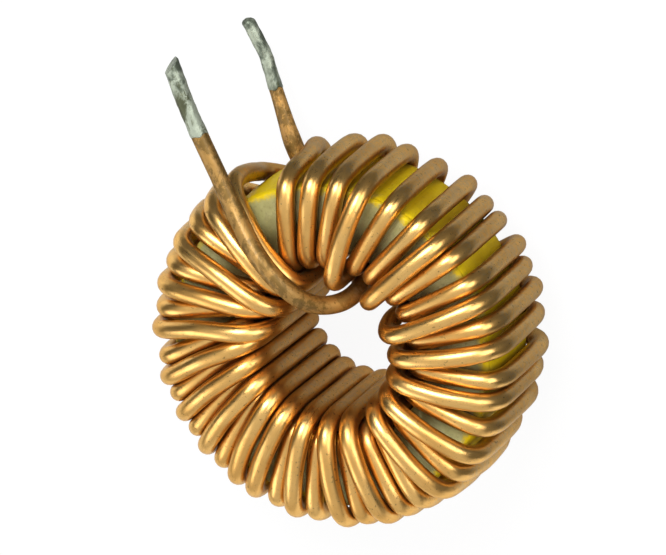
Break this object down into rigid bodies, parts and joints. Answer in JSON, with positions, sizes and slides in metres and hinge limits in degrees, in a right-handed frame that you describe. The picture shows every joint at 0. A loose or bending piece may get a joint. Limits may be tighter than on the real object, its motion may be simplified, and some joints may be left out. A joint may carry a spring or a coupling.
{
  "type": "toroidal inductor",
  "caption": "Toroidal inductor: a yellow iron-powder ring with one pale face, wound all round with heavy enamelled copper wire, with two tinned leads.",
  "frame": {"origin": "centre of the iron-powder ring, on its axis and half way up its height", "axes": "+Z along the ring's axis towards the pale coded face, +Y roughly the way both leads leave the rim"},
  "size_m": [0.0272, 0.0353, 0.0156],
  "materials": {
    "core": "satin",
    "face_coat": "matte",
    "winding": "glossy enamel",
    "tin": "satin"
  },
  "bodies": {
    "root": {"core": "core", "face_coat": "face_coat", "winding": "winding", "tin_front": "tin", "tin_rear": "tin"}
  },
  "joints": []
}
